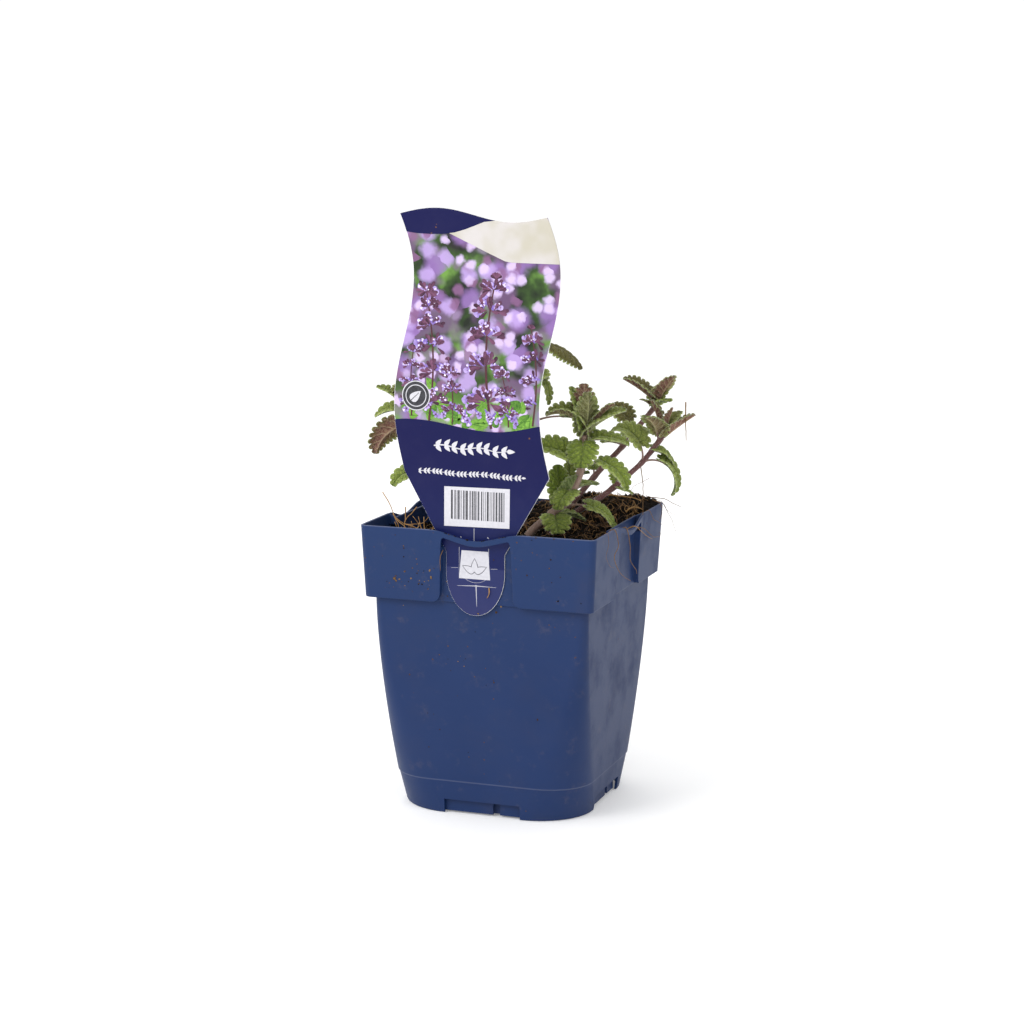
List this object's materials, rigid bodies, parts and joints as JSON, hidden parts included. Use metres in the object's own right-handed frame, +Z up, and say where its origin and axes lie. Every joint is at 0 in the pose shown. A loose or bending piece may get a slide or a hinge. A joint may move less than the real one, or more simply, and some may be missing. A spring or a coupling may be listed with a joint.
{
  "type": "potted catmint",
  "caption": "Young catmint plant with scalloped leaves in a square plastic nursery pot of soil, with a stick-in plant label at the front.",
  "frame": {"origin": "centre of the flat underside of the pot's sunk cup, on the ground under the middle of the pot", "axes": "+Z up, out of the pot's mouth; -Y towards the side with the label; +X to the right when the label is seen from the front"},
  "size_m": [0.1458, 0.1129, 0.272],
  "materials": {
    "pot_blue_plastic": "satin, lightly dusty",
    "potting_soil": "matt, crumbly",
    "label_plastic": "printed, satin",
    "catmint_green": "matt, finely hairy"
  },
  "bodies": {
    "root": {"pot": "pot_blue_plastic", "potting_soil": "potting_soil", "plant_label": "label_plastic", "leafy_stem_front": "catmint_green", "leafy_stem_right": "catmint_green", "leafy_stem_rear_right": "catmint_green", "leafy_stem_tall": "catmint_green", "leafy_stem_left": "catmint_green", "leafy_stem_low_left": "catmint_green", "leafy_stem_rear": "catmint_green", "leafy_shoot_low_right": "catmint_green"}
  },
  "joints": []
}
